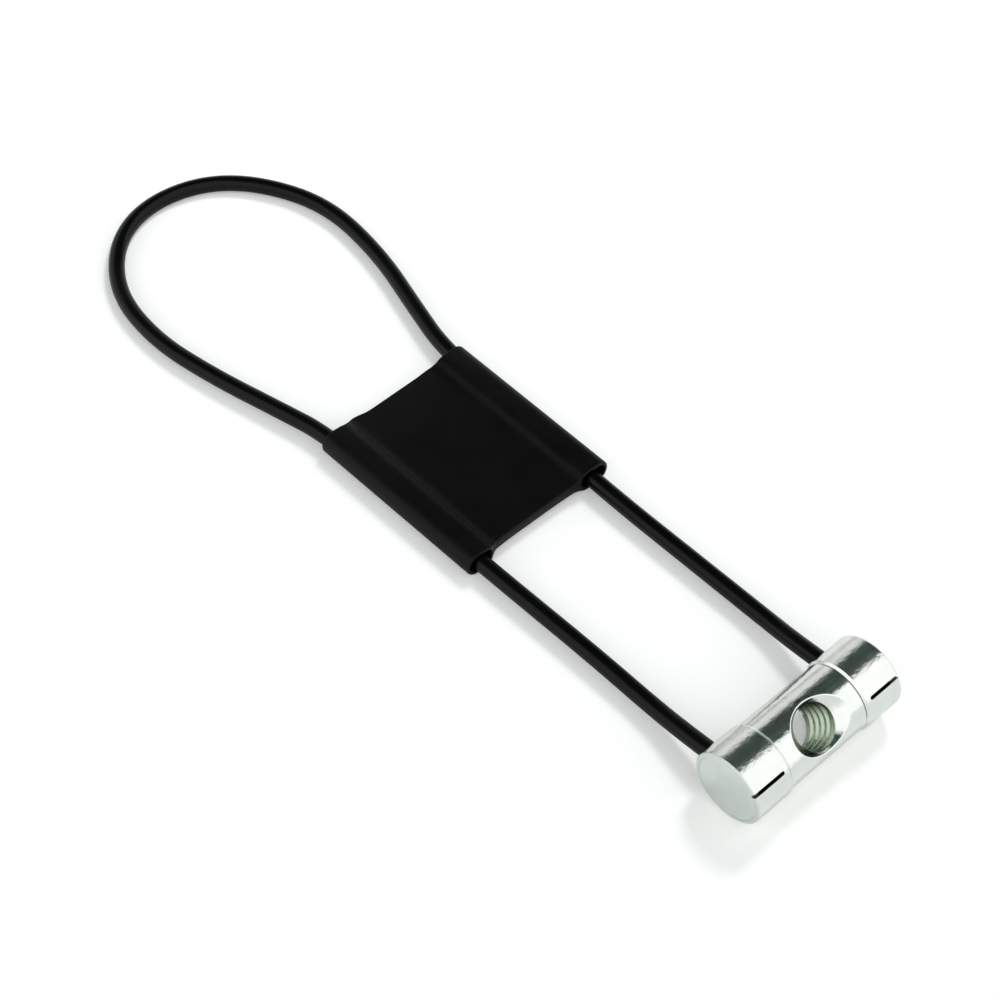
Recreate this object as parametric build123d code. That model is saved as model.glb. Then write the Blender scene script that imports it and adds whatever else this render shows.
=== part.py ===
"""Coated wire loop with a threaded swivel bar across its foot and a flat keeper on its two legs.

+X runs along the bar, +Y from the bar towards the far end of the loop, +Z is up. The origin lies on the
surface that the loop lies on, straight below the middle of the bar. Lengths are in mm, angles in degrees.

Angles round the bar start at -Y, the side away from the loop, and go up over the top.
"""

import os
from math import cos, hypot, radians, sin, sqrt, tan

from build123d import *
from build123d.topology import SkipClean

# Cross bar: a turned steel barrel with a threaded hole across its middle
bar_d = 12.7
bar_l = 17.4
bar_edge = 0.2  # chamfer on the bar's two rims
hole_angle = 52.0
thread_d = 9.525
thread_pitch = 1.5875
thread_short = 0.35  # the last turn of the thread ends this far inside the countersink
sink_angle = 82.0
sink_wall = 0.45  # the countersink is this much wider than the bore at the bar's sides
sink_edge = 0.2  # rounding of the countersink's rim

# Journals: the thin ends of the bar that turn in the collars
journal_d = 9.6
neck_d = 4.0
spigot_d = 3.2
spigot_l = 0.9

# Collars: one round each end of the bar, each holding one end of the wire
collar_d = 13.4
collar_l = 7.9
collar_rim = 0.35  # chamfer at the end that faces the middle
collar_round = 0.5  # rounding at the outer end
bearing_l = 1.8
chamber_l = 4.6  # room round the neck for the wire's stop
chamber_wall = 1.6
disc_wall = 0.8
slot_w = 0.7
slot_angle = 37.0
slot_land = 1.2  # collar left whole between the slot and the middle of the bar

# End discs: pressed on the spigots, they keep the collars on the bar
disc_recess = 0.1
disc_edge = 0.25

# Wire: steel rope in a plastic coat, swaged into a ferrule at each end
coat_d = 3.175
core_d = 2.0
stop_d = 4.2
stop_edge = 0.3
leg_dip = 12.0  # the wire leaves its collar this far below level
leg_straight = 12.0  # and runs straight to this far from the bar's axis
mouth_edge = 0.4  # countersink of the wire's hole
loop_lift = 0.03  # the far end of the loop above the surface

# Keeper: a moulded rubber band with a channel for each leg
keeper_l = 39.0
keeper_far = 100.0  # its end nearest the loop, where the legs start to spread
keeper_x = 0.95  # its middle is this far to the right of the bar's
keeper_wall = 0.7
keeper_web = 2.2
web_round = 0.9
keeper_edge = 0.35
web_hollow = 0.5  # the web's ends curve in by this much
channel_in = 12.75  # the leg's closest place to the keeper's middle, in its channel
channel_out = 14.8

# Fits
run_gap = 0.05  # radial, bar in collar
side_gap = 0.05  # along the bar
stop_gap = 0.1
neck_gap = 0.15
coat_gap = 0.1  # coat in the collar's hole
core_gap = 0.02
keeper_gap = 0.15

# Worked out from the above
bar_r, journal_r, neck_r, spigot_r = bar_d / 2, journal_d / 2, neck_d / 2, spigot_d / 2
collar_r, coat_r, core_r, stop_r = collar_d / 2, coat_d / 2, core_d / 2, stop_d / 2
axis_z = collar_r
journal_x = bar_l / 2 + bearing_l
collar_x = bar_l / 2 + side_gap
collar_end = collar_x + collar_l
chamber_x = journal_x + side_gap
seat_x = chamber_x + chamber_l
leg_x = chamber_x + chamber_l / 2  # each wire end from the middle of the bar
chamber_r = collar_r - chamber_wall
seat_r = collar_r - disc_wall
disc_x = seat_x + side_gap
disc_end = collar_end - disc_recess
disc_r = seat_r - run_gap
thread_depth = 0.54127 * thread_pitch  # five eighths of the sharp thread's height
thread_minor_r = thread_d / 2 - thread_depth
leg_z = coat_r + keeper_gap + keeper_wall
leg_angle = 180 + leg_dip
stop_far = sqrt(chamber_r**2 - stop_r**2) - stop_gap  # its outer face, from the bar's axis
stop_near = neck_r + neck_gap
coat_start = stop_far + side_gap


def outwards(angle, distance, x=0.0):
    """The point at this distance from the bar's axis, at this angle round it."""
    a = radians(angle)
    return Vector(x, -distance * cos(a), axis_z + distance * sin(a))


def turn_to(angle):
    """Places a shape that stands on the bar's axis along +Z so that it points at this angle."""
    return Pos(0, 0, axis_z) * Rot(90 - angle, 0, 0)


def turned(outline):
    """A turned piece on the bar's axis, from the (x, radius) corners of its half section."""
    face = make_face(Polyline(*outline, close=True))
    return Pos(0, 0, axis_z) * revolve(face, Axis.X)


def each_side():
    """The right-hand side as modelled, then its mirror image."""
    return [("right", lambda piece: piece), ("left", lambda piece: mirror(piece, about=Plane.YZ))]


def thread_groove(length):
    """The helical V groove of an internal thread, centred on the origin along +Z."""
    inside = 0.12  # the groove starts this far inside the bore, for a clean cut
    slope = tan(radians(30))
    half_mouth = 3 * thread_pitch / 8 + inside * slope
    half_root = thread_pitch / 16
    path = Helix(thread_pitch, length, thread_minor_r, center=(0, 0, -length / 2))
    across = Plane(origin=path @ 0, x_dir=(1, 0, 0), z_dir=path % 0)
    corners = [
        (-inside, -half_mouth),
        (thread_depth, -half_root),
        (thread_depth, half_root),
        (-inside, half_mouth),
    ]
    section = across * make_face(Polyline(*corners, close=True))
    return sweep(section, path=path, is_frenet=True)


def cross_bar():
    """The barrel with its journals, necks and spigots, and the threaded hole across it."""
    half = [
        (bar_l / 2 - bar_edge, bar_r),
        (bar_l / 2, bar_r - bar_edge),
        (bar_l / 2, journal_r),
        (journal_x, journal_r),
        (journal_x, neck_r),
        (disc_x, neck_r),
        (disc_x, spigot_r),
        (disc_x + spigot_l, spigot_r),
        (disc_x + spigot_l, 0),
    ]
    bar = turned([(-x, r) for x, r in reversed(half)] + half)
    slope = tan(radians(sink_angle / 2))
    sink_side = sqrt(bar_r**2 - (thread_minor_r + sink_wall) ** 2)  # height of the mouth at the bar's sides
    sink_from = sink_side - sink_wall / slope  # height where the cone meets the bore
    cone_l = bar_r - sink_from + 1
    cone = Cone(thread_minor_r, thread_minor_r + cone_l * slope, cone_l)
    sink = Pos(0, 0, sink_from + cone_l / 2) * cone
    for angle in (hole_angle, hole_angle + 180):
        bar -= turn_to(angle) * sink
    # Tapped one half at a time, which leaves the crest of the thread as a row of half turns
    tap = Cylinder(thread_minor_r, 2 * bar_r + 2) + thread_groove(2 * (sink_from - thread_short))
    with SkipClean():
        for keep in (Keep.TOP, Keep.BOTTOM):
            bar -= turn_to(hole_angle) * split(tap, Plane.YZ, keep=keep)
    sink_rims = [e for e in bar.edges() if on_barrel(e) and e.geom_type != GeomType.CIRCLE]
    return fillet(sink_rims, sink_edge)


def on_barrel(edge):
    """True for an edge that lies on the bar's round outside."""
    return all(abs(hypot(p.Y, p.Z - axis_z) - bar_r) < 0.001 for p in (edge @ 0, edge @ 0.3, edge @ 0.7))


def collar():
    """The right-hand collar: bearing, chamber for the wire's stop, seat round the end disc and slot."""
    ring = turned(
        [
            (collar_x, journal_r + run_gap),
            (collar_x, collar_r - collar_rim),
            (collar_x + collar_rim, collar_r),
            (collar_end, collar_r),
            (collar_end, seat_r),
            (seat_x, seat_r),
            (seat_x, chamber_r),
            (chamber_x, chamber_r),
            (chamber_x, journal_r + run_gap),
        ]
    )
    outer_rims = [e for e in ring.edges().filter_by(GeomType.CIRCLE) if e.radius > collar_r - 0.01]
    ring = fillet(max(outer_rims, key=lambda e: e.center().X), collar_round)
    # Axial slot through the wall, open at the outer end, with a round inner end
    slot_x = collar_x + slot_land + slot_w / 2
    slot_l = collar_end + 1 - slot_x
    wall_from = journal_r - 1
    plan = Pos(slot_x + slot_l / 2, 0) * Rectangle(slot_l, slot_w) + Pos(slot_x, 0) * Circle(slot_w / 2)
    ring -= turn_to(slot_angle) * (Pos(0, 0, wall_from) * extrude(plan, collar_r))
    # Hole for the wire in the back, with a countersunk mouth
    hole_r = coat_r + coat_gap
    mouth = Cone(hole_r, hole_r + 2 * mouth_edge, 2 * mouth_edge)
    ring -= turn_to(leg_angle) * (Pos(leg_x, 0, collar_r) * Cylinder(hole_r, 2 * chamber_wall + 1))
    ring -= turn_to(leg_angle) * (Pos(leg_x, 0, collar_r) * mouth)
    return ring


def end_disc():
    """The right-hand disc, with a blind hole for the bar's spigot."""
    return turned(
        [
            (disc_x, spigot_r),
            (disc_x, disc_r),
            (disc_end - disc_edge, disc_r),
            (disc_end, disc_r - disc_edge),
            (disc_end, 0),
            (disc_x + spigot_l, 0),
            (disc_x + spigot_l, spigot_r),
        ]
    )


def cable_stop():
    """The right-hand ferrule, swaged on the end of the wire core."""
    length = stop_far - stop_near
    ferrule = Cylinder(stop_r, length)
    rims = ferrule.edges().filter_by(GeomType.CIRCLE)
    ferrule = chamfer(rims, stop_edge) - Cylinder(core_r, length + 1)
    return turn_to(leg_angle) * (Pos(leg_x, 0, (stop_far + stop_near) / 2) * ferrule)


def wire_route(start):
    """Corners of the wire's route, from the left collar round the loop to the right collar.

    start is the distance of both ends from the bar's axis. The legs run level in the keeper, and the far
    end of the loop comes down to the surface.
    """
    foot_y = (axis_z - leg_z) / tan(radians(leg_dip))
    low = coat_r + loop_lift
    quarter = (leg_z - low) / 4  # the loop comes down in quarters
    return [
        outwards(leg_angle, start, -leg_x),
        outwards(leg_angle, leg_straight, -leg_x),
        Vector(-12.5, foot_y, leg_z),
        Vector(-12.0, 34, leg_z),
        Vector(-12.7, 57, leg_z),
        Vector(-13.1, 80.5, leg_z),
        Vector(-13.8, 101.2, leg_z),
        Vector(-16.2, 111.4, low + 3 * quarter),
        Vector(-19.8, 126.1, low + 2 * quarter),
        Vector(-22.1, 140.9, low + quarter),
        Vector(-20.2, 155.9, low),
        Vector(-12.6, 167.8, low),
        Vector(-1.7, 173.1, low),
        Vector(10.7, 171.3, low),
        Vector(19.7, 163.1, low),
        Vector(25.2, 148.4, low + quarter),
        Vector(23.6, 130.4, low + 2 * quarter),
        Vector(18.9, 114.0, low + 3 * quarter),
        Vector(15.8, 102.5, leg_z),
        Vector(15.1, 81.5, leg_z),
        Vector(14.0, 57.6, leg_z),
        Vector(14.2, 34, leg_z),
        Vector(13.7, foot_y, leg_z),
        outwards(leg_angle, leg_straight, leg_x),
        outwards(leg_angle, start, leg_x),
    ]


def bend_radii(points):
    """A radius for each corner of the route: 0.45 of its shorter run over the tangent of half its turn."""
    runs = [b - a for a, b in zip(points, points[1:])]
    radii = []
    for before, after in zip(runs, runs[1:]):
        half_turn = radians(before.get_angle(after) / 2)
        radii.append(0.45 * min(before.length, after.length) / tan(half_turn))
    return radii


def wire(radius, start):
    """A round tube of this radius along the route, and the route's length. Core and coat bend alike."""
    path = FilletPolyline(*wire_route(start), radius=bend_radii(wire_route(coat_start)))
    section = Plane(origin=path @ 0, z_dir=path % 0) * Circle(radius)
    return sweep(section, path=path), path.length


def keeper_sleeve():
    """A flat moulded band: a lobe round each leg's channel, and a thinner web between them."""
    lobe_r = coat_r + keeper_gap + keeper_wall
    channel_r = coat_r + keeper_gap
    middle, spread = (channel_in + channel_out) / 2, channel_out - channel_in
    lobe = SlotCenterToCenter(spread, 2 * lobe_r)
    channel = SlotCenterToCenter(spread, 2 * channel_r)
    section = Rectangle(2 * middle, keeper_web)
    for side in (-1, 1):
        section += Pos(side * middle, 0) * lobe
    inner_corners = [v for v in section.vertices() if abs(abs(v.Y) - keeper_web / 2) < 0.01]
    section = fillet(inner_corners, web_round)
    band = extrude(section, keeper_l)
    band = chamfer(band.edges().filter_by(lambda e: on_end(e, keeper_l)), keeper_edge)
    for side in (-1, 1):
        band -= extrude(Pos(side * middle, 0) * channel, keeper_l)
    # The web's two ends curve in between the lobes
    half_web = channel_in - lobe_r
    hollow_r = (half_web**2 + web_hollow**2) / (2 * web_hollow)
    for end, out in ((0, -1), (keeper_l, 1)):
        scoop = Rot(90, 0, 0) * Cylinder(hollow_r, 2 * keeper_web)
        band -= Pos(0, 0, end + out * (hollow_r - web_hollow)) * scoop
    return Pos(keeper_x, keeper_far - keeper_l, leg_z) * Rot(-90, 0, 0) * band


def on_end(edge, length):
    """True for an edge that lies flat in one of the band's two end faces."""
    heights = [v.Z for v in edge.vertices()]
    return all(abs(z) < 0.001 for z in heights) or all(abs(z - length) < 0.001 for z in heights)


coat, coat_length = wire(coat_r, coat_start)
bore, _ = wire(core_r + core_gap, coat_start)
core, core_length = wire(core_r, stop_near)

pieces = {
    "cross_bar": cross_bar(),
    "wire_core": core,
    "wire_coating": coat - bore,
    "keeper_sleeve": keeper_sleeve(),
}
for side, placed in each_side():
    pieces[f"collar_{side}"] = placed(collar())
    pieces[f"end_disc_{side}"] = placed(end_disc())
    pieces[f"cable_stop_{side}"] = placed(cable_stop())

os.makedirs("parts", exist_ok=True)
for name, piece in pieces.items():
    export_step(piece, f"parts/{name}.step")

print("bend radii of the wire:", [round(r, 1) for r in bend_radii(wire_route(coat_start))])
print(f"coated wire {coat_length:.1f} mm, core {core_length:.1f} mm")
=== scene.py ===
"""Coated wire loop with a threaded swivel bar across its foot and a flat rubber keeper on its two legs.

+X runs along the bar, +Y from the bar towards the far end of the loop, +Z is up from the surface that the
loop lies on. Lengths are in metres. Angles are given in degrees, and turned to radians where they are used.
"""

from math import cos, exp, pi, radians, sin, tan, tau

import bmesh
import bpy
from mathutils import Matrix, Vector


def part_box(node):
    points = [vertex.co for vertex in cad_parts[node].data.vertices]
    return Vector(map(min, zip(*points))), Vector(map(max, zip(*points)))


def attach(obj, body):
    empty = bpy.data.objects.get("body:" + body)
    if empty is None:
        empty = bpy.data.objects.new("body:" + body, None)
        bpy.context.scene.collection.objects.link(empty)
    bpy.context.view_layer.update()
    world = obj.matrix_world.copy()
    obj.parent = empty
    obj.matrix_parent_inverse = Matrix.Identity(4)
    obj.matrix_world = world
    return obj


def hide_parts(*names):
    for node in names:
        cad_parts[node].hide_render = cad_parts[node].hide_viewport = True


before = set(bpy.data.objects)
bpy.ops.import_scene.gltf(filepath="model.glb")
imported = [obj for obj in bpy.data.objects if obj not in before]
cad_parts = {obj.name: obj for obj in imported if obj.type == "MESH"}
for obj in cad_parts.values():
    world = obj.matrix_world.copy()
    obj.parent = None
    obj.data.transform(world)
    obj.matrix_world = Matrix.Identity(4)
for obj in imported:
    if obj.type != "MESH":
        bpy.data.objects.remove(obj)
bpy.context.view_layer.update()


# ---- Coated wire -----------------------------------------------------------------------------------------
# Black vinyl extruded over a 2 mm steel rope, an eighth of an inch over all. One length makes the whole
# loop: it leaves the left collar, runs through the keeper, round the loop and back into the right collar.

mm = 0.001
scene = bpy.context.scene

coat_d = 3.175 * mm
rope_d = 2 * mm
coat_wall = (coat_d - rope_d) / 2 - 0.02 * mm
leg_x = 12.85 * mm  # each end of the wire, from the middle of the bar
leg_z = 2.4375 * mm  # height of the wire's middle in the keeper
loop_z = 1.6175 * mm  # and where the loop lies on the surface
quarter = (leg_z - loop_z) / 4  # of the way down from one to the other
axis_z = 6.7 * mm  # height of the bar's axis
dip = radians(12)  # the wire leaves its collar this far below level
exit_out = 4.597 * mm  # where the coat ends, from the bar's axis
straight_out = 12 * mm  # and where the wire first bends
exit_y, exit_z = exit_out * cos(dip), axis_z - exit_out * sin(dip)
bend_y, bend_z = straight_out * cos(dip), axis_z - straight_out * sin(dip)
foot_y = (axis_z - leg_z) / tan(dip)

# Out of the left collar along the left leg, round the loop, and back along the right leg
wire_route = [
    (-leg_x, exit_y, exit_z),
    (-12.6 * mm, bend_y, bend_z),
    (-12.0 * mm, foot_y, leg_z),
    (-12.0 * mm, 34 * mm, leg_z),
    (-12.7 * mm, 57 * mm, leg_z),
    (-13.1 * mm, 80.5 * mm, leg_z),
    (-13.8 * mm, 101.2 * mm, leg_z),
    (-16.2 * mm, 111.4 * mm, loop_z + 3 * quarter),
    (-19.8 * mm, 126.1 * mm, loop_z + 2 * quarter),
    (-22.1 * mm, 140.9 * mm, loop_z + quarter),
    (-20.2 * mm, 155.9 * mm, loop_z),
    (-12.5 * mm, 167.4 * mm, loop_z),
    (-1.8 * mm, 172.6 * mm, loop_z),
    (10.4 * mm, 170.8 * mm, loop_z),
    (19.3 * mm, 162.8 * mm, loop_z),
    (25.2 * mm, 148.4 * mm, loop_z + quarter),
    (23.6 * mm, 130.4 * mm, loop_z + 2 * quarter),
    (18.9 * mm, 114.0 * mm, loop_z + 3 * quarter),
    (15.8 * mm, 102.5 * mm, leg_z),
    (15.1 * mm, 81.5 * mm, leg_z),
    (14.0 * mm, 57.6 * mm, leg_z),
    (14.2 * mm, 34 * mm, leg_z),
    (14.3 * mm, foot_y, leg_z),
    (13.3 * mm, bend_y, bend_z),
    (leg_x, exit_y, exit_z),
]


def linear(hex_code):
    """An sRGB hex colour as the linear RGBA that a shader takes."""
    parts = [int(hex_code[i : i + 2], 16) / 255 for i in (1, 3, 5)]
    return tuple(c / 12.92 if c <= 0.04045 else ((c + 0.055) / 1.055) ** 2.4 for c in parts) + (1.0,)


def add(tree, kind, inputs=None, **settings):
    """Adds a node. Each of its inputs is given a value, or another node's output to take."""
    made = tree.nodes.new("ShaderNode" + kind)
    for name, value in settings.items():
        setattr(made, name, value)
    for name, value in (inputs or {}).items():
        if isinstance(value, bpy.types.NodeSocket):
            tree.links.new(value, made.inputs[name])
        else:
            made.inputs[name].default_value = value
    return made


def new_material(name):
    """An empty material, and its node tree."""
    material = bpy.data.materials.new(name)
    material.use_nodes = True
    material.node_tree.nodes.clear()
    return material, material.node_tree


def show(obj, material):
    """Links a new piece's object to the scene with this one material."""
    obj.data.materials.append(material)
    scene.collection.objects.link(obj)
    return obj


def wire_curve(name, points, radius):
    """A smooth round wire of this radius, with these points as its spline's control points."""
    curve = bpy.data.curves.new(name, "CURVE")
    curve.dimensions = "3D"
    curve.resolution_u = 16
    curve.bevel_depth = radius
    curve.bevel_resolution = 8
    spline = curve.splines.new("NURBS")
    spline.points.add(len(points) - 1)
    for point, place in zip(spline.points, points):
        point.co = (*place, 1)
    spline.order_u = 3
    spline.use_endpoint_u = True
    return bpy.data.objects.new(name, curve)


def black_vinyl():
    """Extruded PVC, near black. The die leaves a faint orange peel, and handling leaves duller patches."""
    material, tree = new_material("extruded_black_vinyl")
    place = add(tree, "TexCoord").outputs["Object"]
    # The real peel is about 0.3 mm, drawn at 1 mm so that it shows
    peel = add(tree, "TexNoise", {"Vector": place, "Scale": 1 / (1.0 * mm), "Detail": 3.0})
    handled = add(tree, "TexNoise", {"Vector": place, "Scale": 1 / (8 * mm), "Detail": 4.0})
    bump = add(tree, "Bump", {"Height": peel.outputs["Fac"], "Strength": 0.15, "Distance": 0.05 * mm})
    rough = add(tree, "MapRange", {"Value": handled.outputs["Fac"], "To Min": 0.2, "To Max": 0.32})
    tone = add(
        tree,
        "Mix",
        {0: handled.outputs["Fac"], 6: linear("#010101"), 7: linear("#060706")},
        data_type="RGBA",
    )
    shader = add(
        tree,
        "BsdfPrincipled",
        {
            "Base Color": tone.outputs[2],
            "Roughness": rough.outputs["Result"],
            "Specular IOR Level": 0.18,
            "Normal": bump.outputs["Normal"],
        },
    )
    add(tree, "OutputMaterial", {"Surface": shader.outputs["BSDF"]})
    return material


wire_coat = show(wire_curve("wire_coat", wire_route, coat_d / 2), black_vinyl())
wall = wire_coat.modifiers.new("wall", "SOLIDIFY")
wall.thickness = coat_wall
wall.offset = -1
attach(wire_coat, "loop")
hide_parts("wire_coating")


# ---- Rope in the wire ------------------------------------------------------------------------------------
# Galvanised steel rope of seven strands, six laid round a straight one. The coat grips it all the way, and
# each end passes through its collar's wall into the stop.

laid_strands = 6  # round the straight one
strand_d = 0.64 * mm
strand_lay = 13 * mm  # length of one turn of a strand
rope_end = 2.447 * mm  # the rope runs this far on from each end of the coat


def centre_line(route):
    """Points along the middle of the wire, with both ends run straight on."""
    plain = wire_curve("centre_line", route, 0)
    mesh = bpy.data.meshes.new_from_object(plain)
    points = [vertex.co.copy() for vertex in mesh.vertices]
    bpy.data.meshes.remove(mesh)
    bpy.data.objects.remove(plain)
    first = points[0] + (points[0] - points[1]).normalized() * rope_end
    last = points[-1] + (points[-1] - points[-2]).normalized() * rope_end
    return [first, *points, last]


def strand_mesh(middle, offset, phase):
    """A strand wound at this distance from the rope's middle, starting at this angle."""
    curve = bpy.data.curves.new("strand", "CURVE")
    curve.dimensions = "3D"
    curve.bevel_depth = strand_d / 2
    curve.bevel_resolution = 2
    curve.use_fill_caps = True
    spline = curve.splines.new("POLY")
    spline.points.add(len(middle) - 1)
    travelled = 0
    for i, point in enumerate(middle):
        along = (middle[min(i + 1, len(middle) - 1)] - middle[max(i - 1, 0)]).normalized()
        side = along.cross(Vector((0, 0, 1))).normalized()
        over = side.cross(along)
        turn = phase + tau * travelled / strand_lay
        spline.points[i].co = (*(point + offset * (cos(turn) * side + sin(turn) * over)), 1)
        if i + 1 < len(middle):
            travelled += (middle[i + 1] - point).length
    holder = bpy.data.objects.new("strand", curve)
    mesh = bpy.data.meshes.new_from_object(holder)
    bpy.data.objects.remove(holder)
    return mesh


def galvanised_wire():
    """Drawn and galvanised steel wire: pale grey, with dull zinc along it and bright rubbed spots."""
    material, tree = new_material("galvanised_wire")
    place = add(tree, "TexCoord").outputs["Object"]
    spangle = add(tree, "TexNoise", {"Vector": place, "Scale": 1 / (0.5 * mm), "Detail": 4.0})
    rough = add(tree, "MapRange", {"Value": spangle.outputs["Fac"], "To Min": 0.25, "To Max": 0.5})
    bump = add(tree, "Bump", {"Height": spangle.outputs["Fac"], "Strength": 0.2, "Distance": 0.02 * mm})
    tone = add(
        tree,
        "Mix",
        {0: spangle.outputs["Fac"], 6: linear("#A9ABAB"), 7: linear("#C9CBCA")},
        data_type="RGBA",
    )
    shader = add(
        tree,
        "BsdfPrincipled",
        {
            "Base Color": tone.outputs[2],
            "Metallic": 1.0,
            "Roughness": rough.outputs["Result"],
            "Normal": bump.outputs["Normal"],
        },
    )
    add(tree, "OutputMaterial", {"Surface": shader.outputs["BSDF"]})
    return material


rope = bmesh.new()
middle_line = centre_line(wire_route)
for number in range(laid_strands + 1):
    wound = strand_d if number < laid_strands else 0
    mesh = strand_mesh(middle_line, wound, tau * number / laid_strands)
    rope.from_mesh(mesh)
    bpy.data.meshes.remove(mesh)
rope_data = bpy.data.meshes.new("wire_rope")
rope.to_mesh(rope_data)
rope.free()
rope_data.shade_smooth()
wire_rope = show(bpy.data.objects.new("wire_rope", rope_data), galvanised_wire())
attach(wire_rope, "loop")
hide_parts("wire_core")


# ---- Swivel bar ------------------------------------------------------------------------------------------
# Turned from half inch steel bar, cross drilled, countersunk and tapped, then nickel plated. Its journals
# turn in the collars, and its ends are spigots for the discs.

bar_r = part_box("cross_bar")[1].y
bar_end = 8.7 * mm  # the journals start this far from the bar's middle
hole_angle = 52  # the hole's axis above level
thread_r = 4.85 * mm  # just outside the thread's root
thread_out = 4.15 * mm  # the countersinks start this far from the bar's axis, along the hole
shade_low, shade_high = -1.4 * mm, 2.2 * mm  # across the hole, painted shade darkens the thread from here to here, towards the top
feather = 0.1 * mm  # one finish fades into the next over this width


def measured_on_bar(tree):
    """The place on a piece, and the same place measured from the bar's axis."""
    place = add(tree, "TexCoord").outputs["Object"]
    return place, add(tree, "Mapping", {"Vector": place, "Location": (0, 0, -axis_z)}).outputs["Vector"]


def plated_steel(name, marks, waviness, worked):
    """Bright nickel on turned steel: white metal, mirror-like, with what the tools left under the plate.

    marks is the depth of the turning rings and of the faint draw lines along the bar. waviness is that of
    the soft dimples from tumbling, which break the dark reflections into patches. worked takes the tree,
    the place from the bar's axis and this finish, a colour and a roughness, and gives the finish changed.
    """
    material, tree = new_material(name)
    place, centred = measured_on_bar(tree)
    split = add(tree, "SeparateXYZ", {"Vector": centred})
    turn = add(tree, "Math", {0: split.outputs["Y"], 1: split.outputs["Z"]}, operation="ARCTAN2")
    round_it = add(tree, "Math", {0: turn.outputs[0], 1: bar_r}, operation="MULTIPLY")
    stretch = 0.02  # what is drawn out along its own length changes this much slower that way
    slow_x = add(tree, "Math", {0: split.outputs["X"], 1: stretch}, operation="MULTIPLY")
    slow_round = add(tree, "Math", {0: round_it.outputs[0], 1: stretch}, operation="MULTIPLY")
    along = add(tree, "CombineXYZ", {"X": slow_x.outputs[0], "Y": round_it.outputs[0]})
    rings = add(tree, "CombineXYZ", {"X": split.outputs["X"], "Y": slow_round.outputs[0]})
    # Turning rings are about 0.05 mm apart and draw lines 0.1 mm, both drawn at 0.25 mm so that they show
    ring = add(tree, "TexNoise", {"Vector": rings.outputs[0], "Scale": 1 / (0.25 * mm), "Detail": 2.0})
    line = add(tree, "TexNoise", {"Vector": along.outputs[0], "Scale": 1 / (0.25 * mm), "Detail": 2.0})
    dimple = add(
        tree, "TexNoise", {"Vector": place, "Scale": 1 / (0.9 * mm), "Detail": 5.0, "Roughness": 0.62}
    )
    stain = add(tree, "TexNoise", {"Vector": place, "Scale": 1 / (2.5 * mm), "Detail": 3.0})
    normal = {}
    for height, strength, distance in ((ring, 0.25, marks), (line, 0.25, marks), (dimple, 0.5, waviness)):
        inputs = {"Height": height.outputs["Fac"], "Strength": strength, "Distance": distance}
        normal = {"Normal": add(tree, "Bump", inputs | normal).outputs["Normal"]}
    rough = add(tree, "MapRange", {"Value": stain.outputs["Fac"], "To Min": 0.07, "To Max": 0.19})
    tone = add(
        tree,
        "Mix",
        {0: stain.outputs["Fac"], 6: linear("#E2E7E2"), 7: linear("#F7F9F6")},
        data_type="RGBA",
    )
    colour, roughness = worked(tree, centred, (tone.outputs[2], rough.outputs["Result"]))
    shader = add(
        tree,
        "BsdfPrincipled",
        {"Base Color": colour, "Metallic": 1.0, "Roughness": roughness} | normal,
    )
    add(tree, "OutputMaterial", {"Surface": shader.outputs["BSDF"]})
    return material


def region(tree, *edges):
    """1 inside a region and 0 outside. Each soft edge is (value, where it starts, where it is full)."""
    inside = 1.0
    for value, start, stop in edges:
        ends = {"Value": value, "From Min": start, "From Max": stop}
        edge = add(tree, "MapRange", ends, interpolation_type="SMOOTHSTEP").outputs["Result"]
        inside = add(tree, "Math", {0: inside, 1: edge}, operation="MULTIPLY").outputs[0]
    return inside


def from_axis(tree, place, first, second):
    """Distance from an axis, worked out from the two coordinates across it."""
    split = add(tree, "SeparateXYZ", {"Vector": place})
    flat = add(tree, "CombineXYZ", {"X": split.outputs[first], "Y": split.outputs[second]})
    return add(tree, "VectorMath", {0: flat.outputs[0]}, operation="LENGTH").outputs["Value"]


def from_middle(tree, place, name):
    """Distance from the middle, either way, along one of a place's coordinates."""
    split = add(tree, "SeparateXYZ", {"Vector": place})
    return add(tree, "Math", {0: split.outputs[name]}, operation="ABSOLUTE").outputs[0]


def lay_over(tree, part, finish, colour, rougher):
    """Changes a finish over part of the surface: to another colour, and this much rougher than before."""
    old_colour, old_roughness = finish
    tone = add(tree, "Mix", {0: part, 6: old_colour, 7: colour}, data_type="RGBA")
    extra = add(tree, "Math", {0: part, 1: rougher}, operation="MULTIPLY")
    rough = add(tree, "Math", {0: old_roughness, 1: extra.outputs[0]}, operation="ADD")
    return tone.outputs[2], rough.outputs[0]


def shaded_thread_and_journals(tree, centred, finish):
    """Plate is thin in the thread, with painted shade darkening the top of the hole, and painted shade on
    the journals.
    """
    # Turned so that Z runs along the hole and Y is up across it
    tilt = (radians(hole_angle - 90), 0, 0)
    in_hole = add(tree, "Mapping", {"Vector": centred, "Rotation": tilt}).outputs["Vector"]
    thread = region(
        tree,
        (from_axis(tree, in_hole, "X", "Y"), thread_r + feather, thread_r),
        (from_middle(tree, in_hole, "Z"), thread_out + feather, thread_out - feather),
    )
    # Painted shade: the thread goes from pale green-grey to dark olive towards the top of the hole
    height = add(tree, "SeparateXYZ", {"Vector": in_hole}).outputs["Y"]
    top_shade = region(tree, (height, shade_low, shade_high))
    thread_shade_tone = add(tree, "Mix", {0: top_shade, 6: linear("#B6C5AE"), 7: linear("#222A21")}, data_type="RGBA")
    finish = lay_over(tree, thread, finish, thread_shade_tone.outputs[2], 0.08)
    # Painted shade: the journals, inside the collars, are painted near black and dull
    length = from_middle(tree, centred, "X")
    journal_shade = region(tree, (length, bar_end + feather / 2, bar_end + feather))
    return lay_over(tree, journal_shade, finish, linear("#2E302F"), 0.3)


def finish_node(name, material):
    """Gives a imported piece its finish."""
    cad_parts[name].material_slots[0].material = material


finish_node("cross_bar", plated_steel("bright_nickel_bar", 0.007 * mm, 0.11 * mm, shaded_thread_and_journals))


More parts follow.
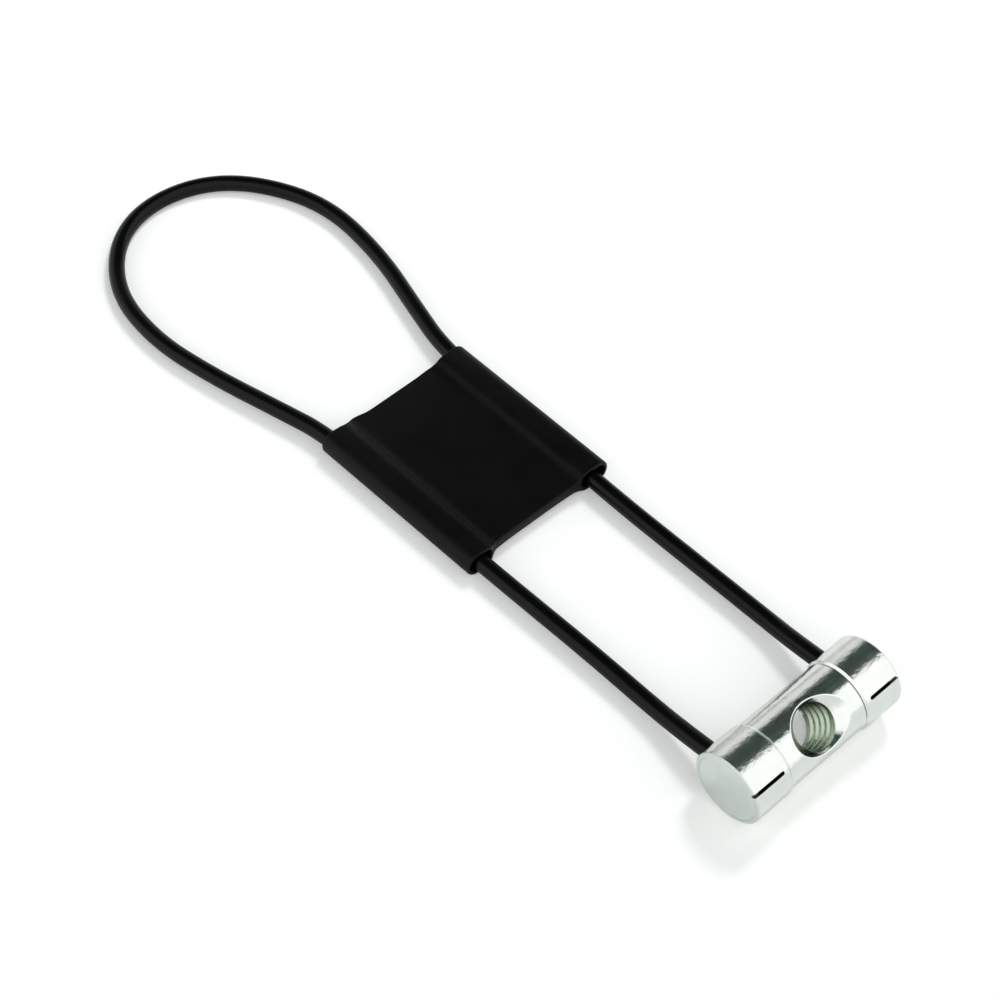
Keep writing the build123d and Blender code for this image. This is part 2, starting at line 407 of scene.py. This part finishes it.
# ---- Collars ---------------------------------------------------------------------------------------------
# Two turned steel collars, bored for the bar's journals and the wire's stops, slit along one side and
# nickel plated. The wire holds them, and they stay put while the bar turns.

collar_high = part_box("collar_right")[1]
collar_end, collar_r = collar_high.x, collar_high.y
faced_l = 0.45 * mm  # length of each collar's outer end that is faced


def faced_with_shaded_slits(tree, centred, finish):
    """The outer ends are faced satin, like the discs, and the slits and bores inside are painted dark as
    painted shade.
    """
    length = from_middle(tree, centred, "X")
    faced = region(tree, (length, collar_end - faced_l, collar_end - faced_l / 3))
    finish = lay_over(tree, faced, finish, linear("#E2E8E4"), 0.28)
    # Painted shade: inside the collar, the slit walls and the bore are painted near black
    slit_shade = region(
        tree,
        (from_axis(tree, centred, "Y", "Z"), collar_r - feather, collar_r - 2 * feather),
        (length, collar_end - feather, collar_end - 2 * feather),
        (length, bar_end + 2 * feather, bar_end + 4 * feather),
    )
    return lay_over(tree, slit_shade, finish, linear("#232524"), 0.3)


collar_plate = plated_steel("bright_nickel_collar", 0.01 * mm, 0.16 * mm, faced_with_shaded_slits)
for side in ("left", "right"):
    finish_node(f"collar_{side}", collar_plate)


# ---- End discs -------------------------------------------------------------------------------------------
# Faced steel discs pressed on the bar's spigots, which keep the collars on. Their satin comes from the
# facing tool's fine rings, and a light tumble has softened them.

disc_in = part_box("end_disc_right")[0].x  # the disc's inner face, from the middle of the bar
disc_r = 5.88 * mm
disc_rim = 0.06 * mm
spigot_r, spigot_l = 1.6 * mm, 0.9 * mm


def satin_facing():
    """Faced steel: pale satin grey, with rings round its middle and a few soft scuffs."""
    material, tree = new_material("satin_faced_steel")
    place, centred = measured_on_bar(tree)
    by_radius = add(tree, "CombineXYZ", {"X": from_axis(tree, centred, "Y", "Z")})
    # The facing feed is about 0.08 mm, drawn at 0.2 mm so that it shows
    ring = add(tree, "TexNoise", {"Vector": by_radius.outputs[0], "Scale": 1 / (0.2 * mm), "Detail": 2.0})
    scuff = add(tree, "TexNoise", {"Vector": place, "Scale": 1 / (1.6 * mm), "Detail": 5.0})
    ring_bump = add(tree, "Bump", {"Height": ring.outputs["Fac"], "Strength": 0.3, "Distance": 0.01 * mm})
    bump = add(
        tree,
        "Bump",
        {
            "Height": scuff.outputs["Fac"],
            "Strength": 0.4,
            "Distance": 0.05 * mm,
            "Normal": ring_bump.outputs["Normal"],
        },
    )
    rough = add(tree, "MapRange", {"Value": scuff.outputs["Fac"], "To Min": 0.34, "To Max": 0.5})
    tone = add(
        tree,
        "Mix",
        {0: scuff.outputs["Fac"], 6: linear("#DFE6E1"), 7: linear("#EFF4F0")},
        data_type="RGBA",
    )
    shader = add(
        tree,
        "BsdfPrincipled",
        {
            "Base Color": tone.outputs[2],
            "Metallic": 1.0,
            "Roughness": rough.outputs["Result"],
            "Normal": bump.outputs["Normal"],
        },
    )
    add(tree, "OutputMaterial", {"Surface": shader.outputs["BSDF"]})
    return material


def finished(work, name, crease):
    """Ends a bmesh as a mesh, smooth-shaded but for edges sharper than this angle."""
    data = bpy.data.meshes.new(name)
    work.to_mesh(data)
    work.free()
    data.shade_smooth()
    data.set_sharp_from_angle(angle=radians(crease))
    return data


def disc_mesh(way):
    """A disc turned about the bar's axis, with a blind hole for the spigot. way is -1 for the left end."""
    disc = bmesh.new()
    outline = [
        (disc_in + spigot_l, 0),
        (disc_in + spigot_l, spigot_r),
        (disc_in, spigot_r),
        (disc_in, disc_r),
        (collar_end - disc_rim, disc_r),
        (collar_end, disc_r - disc_rim),
        (collar_end, 0),
    ]
    verts = [disc.verts.new((way * x, 0, axis_z + r)) for x, r in outline]
    edges = [disc.edges.new(pair) for pair in zip(verts, verts[1:])]
    bmesh.ops.spin(
        disc, geom=verts + edges, cent=(0, 0, axis_z), axis=(1, 0, 0), angle=tau, steps=96, use_merge=True
    )
    bmesh.ops.remove_doubles(disc, verts=list(disc.verts), dist=0.001 * mm)
    bmesh.ops.recalc_face_normals(disc, faces=list(disc.faces))
    return finished(disc, "faced_disc", 30)


disc_finish = satin_facing()
for side, way in (("left", -1), ("right", 1)):
    disc = show(bpy.data.objects.new(f"faced_disc_{side}", disc_mesh(way)), disc_finish)
    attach(disc, "bar")
    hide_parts(f"end_disc_{side}")


# ---- Cable stops -----------------------------------------------------------------------------------------
# Steel ferrules swaged on the rope's ends, one inside each collar, so that the wire can't be pulled out.
# They are left as swaged, so they are dull.


def swaged_steel():
    """Cold-squeezed mild steel: mid grey and half dull, with faint marks of the dies along it."""
    material, tree = new_material("swaged_steel")
    place = add(tree, "TexCoord").outputs["Object"]
    die = add(tree, "TexNoise", {"Vector": place, "Scale": 1 / (0.6 * mm), "Detail": 4.0})
    bump = add(tree, "Bump", {"Height": die.outputs["Fac"], "Strength": 0.4, "Distance": 0.04 * mm})
    rough = add(tree, "MapRange", {"Value": die.outputs["Fac"], "To Min": 0.3, "To Max": 0.55})
    tone = add(
        tree, "Mix", {0: die.outputs["Fac"], 6: linear("#8F9192"), 7: linear("#B4B6B5")}, data_type="RGBA"
    )
    shader = add(
        tree,
        "BsdfPrincipled",
        {
            "Base Color": tone.outputs[2],
            "Metallic": 1.0,
            "Roughness": rough.outputs["Result"],
            "Normal": bump.outputs["Normal"],
        },
    )
    add(tree, "OutputMaterial", {"Surface": shader.outputs["BSDF"]})
    return material


stop_finish = swaged_steel()
for side in ("left", "right"):
    finish_node(f"cable_stop_{side}", stop_finish)


# ---- Keeper ----------------------------------------------------------------------------------------------
# A flat band moulded in black rubber, with a channel for each leg of the wire and a thinner web between.
# It grips the legs lightly, and slides towards the bar to close the loop up.

keeper_low, keeper_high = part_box("keeper_sleeve")
keeper_x = (keeper_low.x + keeper_high.x) / 2
keeper_near, keeper_far = keeper_low.y, keeper_high.y
keeper_wall = 0.7 * mm
channel_r = coat_d / 2 + 0.15 * mm
channel_in, channel_out = 12.75 * mm, 14.8 * mm
lobe_r = channel_r + keeper_wall
web_half = 1.1 * mm  # half the web's thickness
half_web = channel_in - lobe_r  # and half its width
rim_round = 0.35 * mm
rim_in = 0.7 * rim_round  # the rims are rounded less across than along
nearly_all = 0.98  # of the room for a corner's rounding, so that no two roundings meet

# How its ends are trimmed by hand. Places across it run from -1 at the web's left edge to 1 at its right.
near_cut, near_hollow = 0.6 * mm, 0.25 * mm
left_lobe_l = 0.8 * mm  # at the near end the left lobe is longer than the rest by this much
left_lobe_at = (-0.92, -1.12)  # starting at the first place, and wholly from the second on
left_side_in = 0.6 * mm  # and its outer side comes in by this much
left_side_at = (-1.0, -1.4)
far_cut, far_slant, far_hollow = 0.35 * mm, 0.25 * mm, 0.1 * mm
# Each swelling of the far end is (place, width, height)
far_swells = [(-1.15, 0.12, -0.3 * mm), (-0.88, 0.18, 0.65 * mm), (0.85, 0.2, 0.2 * mm)]


def rounded_ring(keeper, middle, corners):
    """A closed ring of edges at the keeper's near end, its middle this far to the right of the keeper's.

    Each corner is (x, z, how far from the corner its rounding starts).
    """
    places = [(keeper_x + middle + x, keeper_near + rim_round, leg_z + z) for x, z, rounding in corners]
    verts = [keeper.verts.new(place) for place in places]
    keeper.faces.new(verts)
    for vert, (x, z, rounding) in zip(verts, corners):
        bmesh.ops.bevel(
            keeper,
            geom=[vert],
            offset=rounding,
            offset_type="OFFSET",
            affect="VERTICES",
            segments=8,
            profile=0.5,
            material=-1,
        )
    bmesh.ops.delete(keeper, geom=list(keeper.faces), context="FACES_ONLY")


def trim_end(place):
    """Moves a place on one of the keeper's ends to where it is trimmed.

    The web curves in between the lobes at the near end. The far end runs nearly straight, with a step at
    the left lobe's shoulder.
    """
    off = (place.x - keeper_x) / half_web
    hollow = max(0, 1 - off**4)
    if place.y < (keeper_near + keeper_far) / 2:
        left_lobe, left_side = (min(1, max(0, (off - a) / (b - a))) for a, b in (left_lobe_at, left_side_at))
        place.y += near_cut - left_lobe_l * left_lobe + near_hollow * hollow
        place.x += left_side_in * left_side
    else:
        place.y += far_slant * off - far_cut + far_hollow * hollow
        for middle, width, height in far_swells:
            place.y += height * exp(-(((off - middle) / width) ** 2))


def keeper_mesh():
    """The keeper: its section with both channels, drawn out along the legs, with rounded rims."""
    keeper = bmesh.new()
    spread = (channel_out - channel_in) / 2
    lobe_x = (channel_in + channel_out) / 2
    outer, inner = lobe_x + spread + lobe_r, lobe_x - spread - lobe_r
    step_in, step_out, step_round = 0.5 * mm, 1.5 * mm, 0.9 * mm
    right = [
        (inner - step_in, -web_half, step_round),
        (inner + step_out, -lobe_r, step_round),
        (outer, -lobe_r, lobe_r * nearly_all),
        (outer, lobe_r, lobe_r * nearly_all),
        (inner + step_out, lobe_r, step_round),
        (inner - step_in, web_half, step_round),
    ]
    rounded_ring(keeper, 0, right + [(-x, z, rounding) for x, z, rounding in reversed(right)])
    half = spread + channel_r
    channel = [(-half, -channel_r), (half, -channel_r), (half, channel_r), (-half, channel_r)]
    for middle in (-lobe_x, lobe_x):
        rounded_ring(keeper, middle, [(x, z, channel_r * nearly_all) for x, z in channel])
    # The web's two long edges are cut up, so that they can be curved
    web = [edge for edge in keeper.edges if edge.calc_length() > inner]
    bmesh.ops.subdivide_edges(keeper, edges=web, cuts=21)
    near = bmesh.ops.triangle_fill(keeper, use_beauty=True, edges=list(keeper.edges))
    near = [item for item in near["geom"] if isinstance(item, bmesh.types.BMFace)]
    drawn = bmesh.ops.extrude_face_region(keeper, geom=near)
    far = [item for item in drawn["geom"] if isinstance(item, bmesh.types.BMFace)]
    length = keeper_far - keeper_near - 2 * rim_round
    verts = [item for item in drawn["geom"] if isinstance(item, bmesh.types.BMVert)]
    bmesh.ops.translate(keeper, verts=verts, vec=(0, length, 0))
    bmesh.ops.recalc_face_normals(keeper, faces=list(keeper.faces))
    steps = 4
    for cap in (near, far):
        for step in range(steps):
            start, stop = step * pi / 2 / steps, (step + 1) * pi / 2 / steps
            bmesh.ops.inset_region(
                keeper,
                faces=cap,
                thickness=rim_in * (cos(start) - cos(stop)),
                depth=rim_round * (sin(stop) - sin(start)),
                use_even_offset=True,
                use_boundary=True,
            )
    for vert in keeper.verts:
        trim_end(vert.co)
    return finished(keeper, "rubber_keeper", 40)


def moulded_rubber():
    """Moulded EPDM rubber: matt black, with a fine grain, a faint parting line and greyer rubbed spots."""
    material, tree = new_material("moulded_black_rubber")
    place = add(tree, "TexCoord").outputs["Object"]
    # The mould's grain is about 0.1 mm, drawn at 0.35 mm so that it shows
    grain = add(tree, "TexNoise", {"Vector": place, "Scale": 1 / (0.35 * mm), "Detail": 3.0})
    rubbed = add(tree, "TexNoise", {"Vector": place, "Scale": 1 / (6 * mm), "Detail": 5.0})
    height = add(tree, "SeparateXYZ", {"Vector": place}).outputs["Z"]
    off_line = add(tree, "Math", {0: height, 1: leg_z}, operation="SUBTRACT")
    off_line = add(tree, "Math", {0: off_line.outputs[0]}, operation="ABSOLUTE")
    parting = add(
        tree, "MapRange", {"Value": off_line.outputs[0], "From Min": 0.16 * mm, "From Max": 0.04 * mm}
    )
    line_bump = add(
        tree, "Bump", {"Height": parting.outputs["Result"], "Strength": 0.8, "Distance": 0.08 * mm}
    )
    bump = add(
        tree,
        "Bump",
        {
            "Height": grain.outputs["Fac"],
            "Strength": 0.35,
            "Distance": 0.05 * mm,
            "Normal": line_bump.outputs["Normal"],
        },
    )
    rough = add(tree, "MapRange", {"Value": rubbed.outputs["Fac"], "To Min": 0.36, "To Max": 0.55})
    tone = add(
        tree, "Mix", {0: rubbed.outputs["Fac"], 6: linear("#010101"), 7: linear("#070707")}, data_type="RGBA"
    )
    shader = add(
        tree,
        "BsdfPrincipled",
        {
            "Base Color": tone.outputs[2],
            "Roughness": rough.outputs["Result"],
            "Specular IOR Level": 0.16,
            "Normal": bump.outputs["Normal"],
        },
    )
    add(tree, "OutputMaterial", {"Surface": shader.outputs["BSDF"]})
    return material


rubber_keeper = show(bpy.data.objects.new("rubber_keeper", keeper_mesh()), moulded_rubber())
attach(rubber_keeper, "keeper")
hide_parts("keeper_sleeve")


# ---- Floor, light and camera -----------------------------------------------------------------------------
# The object lies on a white board in a white studio, under one soft lamp high on the right. They only stage
# it, and aren't part of it.

floor_half = 3.0


def white_surface():
    """Matt white board, a little brighter to the camera than it is lit."""
    material, tree = new_material("matt_white_board")
    lit = add(tree, "BsdfDiffuse", {"Color": linear("#EAECEA")})
    seen = add(tree, "LightPath").outputs["Is Camera Ray"]
    lift = add(tree, "Math", {0: seen, 1: 0.23}, operation="MULTIPLY")
    glow = add(tree, "Emission", {"Strength": lift.outputs[0]})
    both = add(tree, "AddShader", {0: lit.outputs[0], 1: glow.outputs[0]})
    add(tree, "OutputMaterial", {"Surface": both.outputs[0]})
    return material


floor_mesh = bmesh.new()
bmesh.ops.create_grid(floor_mesh, x_segments=1, y_segments=1, size=floor_half)
floor_data = bpy.data.meshes.new("floor")
floor_mesh.to_mesh(floor_data)
floor_mesh.free()
floor = show(bpy.data.objects.new("floor", floor_data), white_surface())

# The sky of the studio, by direction: plain white, with the dark green end of the room high on the right,
# where the polished bar picks it up as a dark, uneven band, and a grey line along the horizon behind.
front_level, behind_level, horizon_level = 1.15, 0.78, 0.35
right_edge = (-0.6, -0.35)  # the right side starts at the first, across the sky, and is full at the second
world = bpy.data.worlds.new("studio")
scene.world = world
world.use_nodes = True
sky = world.node_tree
sky.nodes.clear()
direction = add(sky, "TexCoord").outputs["Generated"]
split = add(sky, "SeparateXYZ", {"Vector": direction})
angle = add(sky, "Math", {0: split.outputs["Z"], 1: split.outputs["Y"]}, operation="ARCTAN2").outputs[0]


def right_side(rise, fall):
    """1 on the right of the sky between two heights, each a soft edge from one angle to another."""
    edges = [(angle, radians(start), radians(stop)) for start, stop in (rise, fall)]
    return region(sky, *edges, (split.outputs["X"], *right_edge))


dark_end = right_side((33, 39), (100, 96))
horizon = right_side((-2, 1), (9, 6))
behind = right_side((-181, -180), (60, 30))
clutter = add(sky, "TexNoise", {"Vector": direction, "Scale": 12.0, "Detail": 5.0, "Roughness": 0.65})
dark_level = add(
    sky, "MapRange", {"Value": clutter.outputs["Fac"], "From Min": 0.49, "From Max": 0.7, "To Max": 0.5}
)
level = add(sky, "Mix", {"Factor": behind, 2: front_level, 3: behind_level})
level = add(sky, "Mix", {"Factor": dark_end, 2: level.outputs[0], 3: dark_level.outputs[0]})
level = add(sky, "Mix", {"Factor": horizon, 2: level.outputs[0], 3: horizon_level})
seen = add(sky, "LightPath").outputs["Is Camera Ray"]
strength = add(sky, "Mix", {"Factor": seen, 2: level.outputs[0], 3: 1.0})
tint = add(sky, "Mix", {0: dark_end, 6: linear("#FFFFFF"), 7: linear("#E0FFF2")}, data_type="RGBA")
tone = add(sky, "Mix", {0: seen, 6: tint.outputs[2], 7: linear("#FFFFFF")}, data_type="RGBA")
backdrop = add(sky, "Background", {"Color": tone.outputs[2], "Strength": strength.outputs[0]})
add(sky, "OutputWorld", {"Surface": backdrop.outputs[0]})

# The lamp, seen by no polished surface
key_width, key_power, key_away = 0.2, 1.9, 0.7
key_from = Vector((0.55, 0.15, 0.82)).normalized()
key_data = bpy.data.lights.new("key", "AREA")
key_data.shape = "DISK"
key_data.size = key_width
key_data.energy = key_power
key = bpy.data.objects.new("key", key_data)
key.location = Vector((0, 90 * mm, 0)) + key_from * key_away
key.rotation_euler = key_from.to_track_quat("Z", "Y").to_euler()
key.visible_glossy = False
scene.collection.objects.link(key)

# Camera: level, from above the left end of the bar, looking over it along the loop
view_azimuth, view_elevation = -42.39, 50.404
view_target = Vector((0.294, 70.252, 0)) * mm
view_distance = 361.78 * mm
across = cos(radians(view_elevation))
forward = Vector(
    (
        -sin(radians(view_azimuth)) * across,
        cos(radians(view_azimuth)) * across,
        -sin(radians(view_elevation)),
    )
)
camera_data = bpy.data.cameras.new("camera")
camera_data.sensor_width = 36
camera_data.lens = 74.0
camera_data.clip_start = 0.01
camera = bpy.data.objects.new("camera", camera_data)
upright = forward.to_track_quat("-Z", "Y").to_matrix()
camera.matrix_world = Matrix.LocRotScale(view_target - forward * view_distance, upright, None)
scene.collection.objects.link(camera)
scene.camera = camera

scene.view_settings.view_transform = "Standard"
